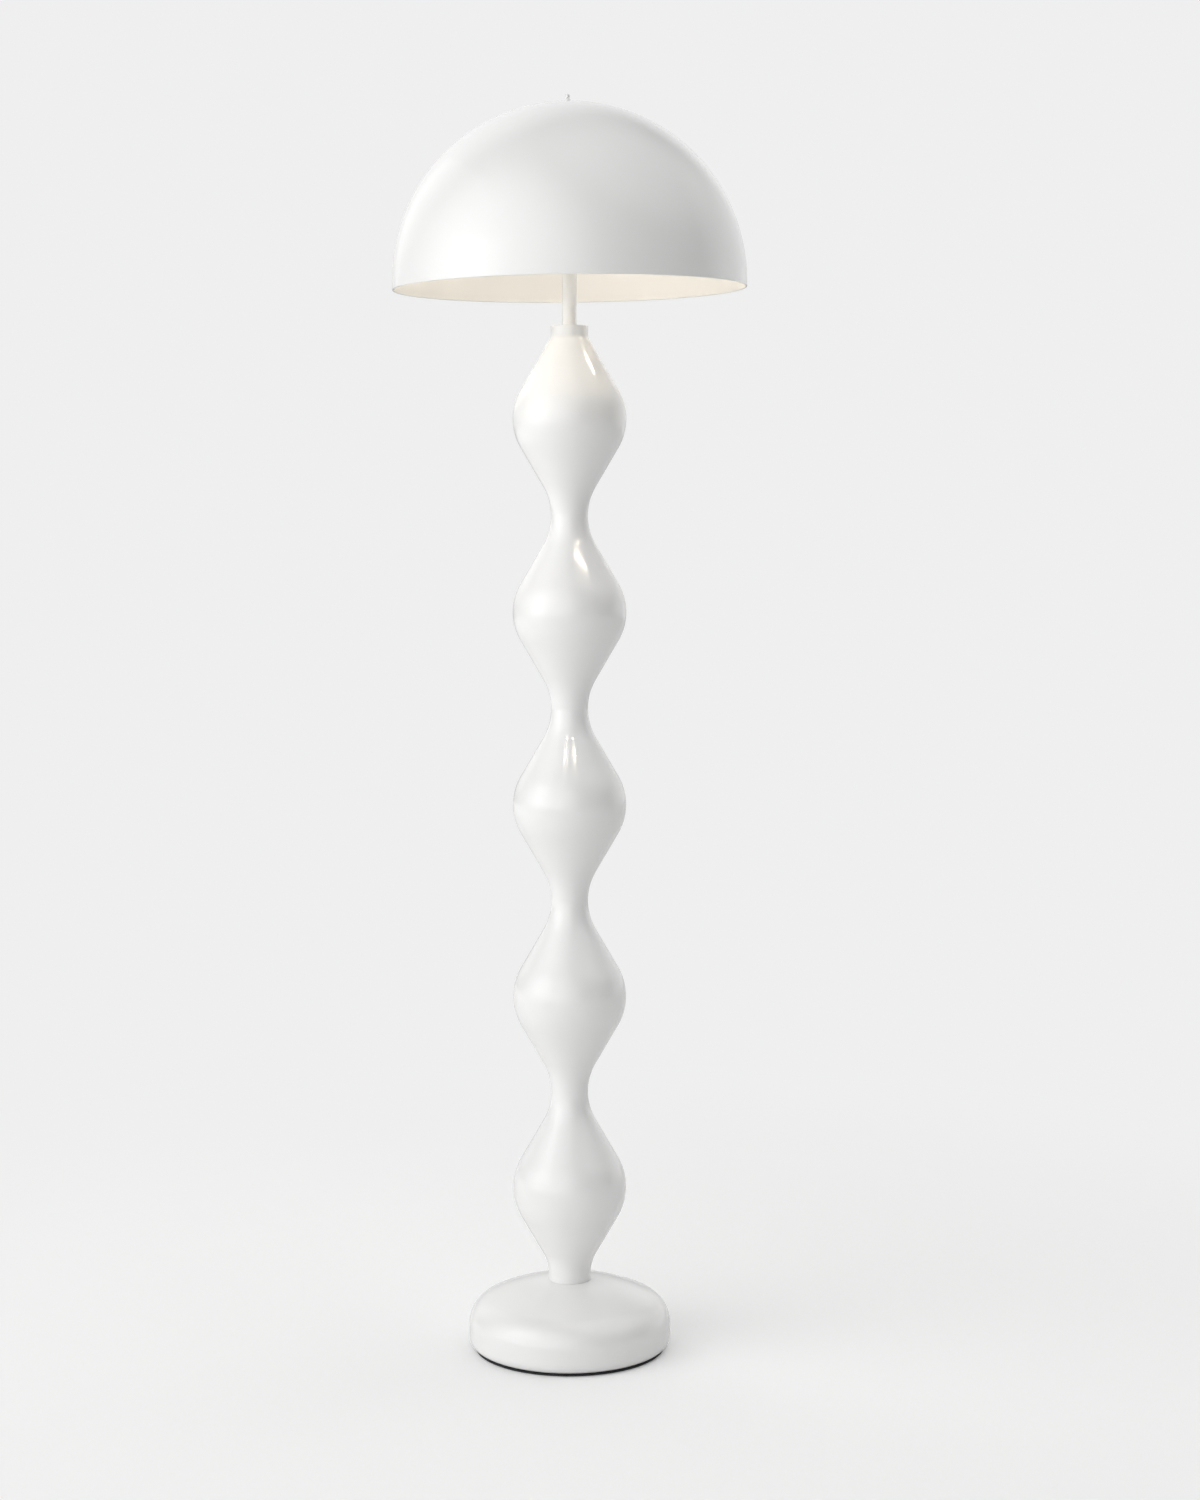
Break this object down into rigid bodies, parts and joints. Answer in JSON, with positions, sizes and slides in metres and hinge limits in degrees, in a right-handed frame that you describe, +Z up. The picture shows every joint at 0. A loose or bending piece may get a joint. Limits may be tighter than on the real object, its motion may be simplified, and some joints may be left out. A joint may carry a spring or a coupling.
{
  "type": "mushroom floor lamp",
  "caption": "Floor lamp with a glossy dome shade on a column of stacked round bulbs and a domed weighted base.",
  "frame": {"origin": "on the floor, under the middle of the base", "axes": "+Z up along the column; the lamp faces -Y, and the cord inlet is at the back, +Y"},
  "size_m": [0.4061, 0.406, 1.4452],
  "materials": {
    "white_lacquer": "gloss",
    "black_pad": "matte",
    "cast_iron": "rough",
    "zinc_steel": "satin",
    "white_plastic": "satin",
    "nylon": "matte",
    "brass": "satin",
    "fibre_liner": "matte",
    "black_phenolic": "gloss",
    "aluminium": "satin",
    "lit_glass": "frosted, lit"
  },
  "bodies": {
    "stand": {"floor_pad": "black_pad", "base_plate": "zinc_steel", "ballast": "cast_iron", "plate_screws": "zinc_steel", "base_shell": "white_lacquer", "base_spacer": "zinc_steel", "cord_grommet": "white_plastic", "base_washer": "zinc_steel", "lock_washer": "zinc_steel", "base_nut": "zinc_steel", "centre_rod": "zinc_steel", "column_bulb_1": "white_lacquer", "column_bulb_2": "white_lacquer", "column_bulb_3": "white_lacquer", "column_bulb_4": "white_lacquer", "column_bulb_5": "white_lacquer", "neck_bush_1": "nylon", "neck_bush_2": "nylon", "neck_bush_3": "nylon", "neck_bush_4": "nylon", "foot_plate": "zinc_steel", "collar_cap": "white_lacquer", "stem_tube": "white_lacquer", "harp_saddle": "brass", "harp": "brass", "harp_boss": "brass", "lampholder_cap": "brass", "lampholder_shell": "brass", "lampholder_liner": "fibre_liner", "lampholder_core": "black_phenolic", "screw_shell": "brass", "centre_contact": "brass"},
    "shade": {"shade": "white_lacquer", "shade_rest": "zinc_steel"},
    "finial": {"finial": "white_lacquer"},
    "switch_knob": {"switch_knob": "black_phenolic"},
    "light_bulb": {"light_bulb_cap": "aluminium", "light_bulb_glass": "lit_glass"},
    "ferrule_front": {"harp_ferrule_front": "brass"},
    "ferrule_back": {"harp_ferrule_back": "brass"}
  },
  "joints": [
    {"name": "shade_turn", "type": "hinge", "parent": "stand", "child": "shade", "pos_m": [0, 0, 1.26212], "axis": [-0.0122, 0, 0.9999], "continuous": true},
    {"name": "finial_turn", "type": "hinge", "parent": "stand", "child": "finial", "pos_m": [0, 0, 1.26212], "axis": [-0.0122, 0, 0.9999], "continuous": true},
    {"name": "switch_turn", "type": "hinge", "parent": "stand", "child": "switch_knob", "pos_m": [0, 0, 1.27412], "axis": [1, 0, 0], "continuous": true},
    {"name": "bulb_unscrew", "type": "hinge", "parent": "stand", "child": "light_bulb", "pos_m": [0, 0, 1.28732], "axis": [0, 0, 1], "range_deg": [0, 1080]},
    {"name": "ferrule_front_lift", "type": "slide", "parent": "stand", "child": "ferrule_front", "axis": [0, 0, 1], "range_m": [0, 0.0102]},
    {"name": "ferrule_back_lift", "type": "slide", "parent": "stand", "child": "ferrule_back", "axis": [0, 0, 1], "range_m": [0, 0.0102]}
  ]
}
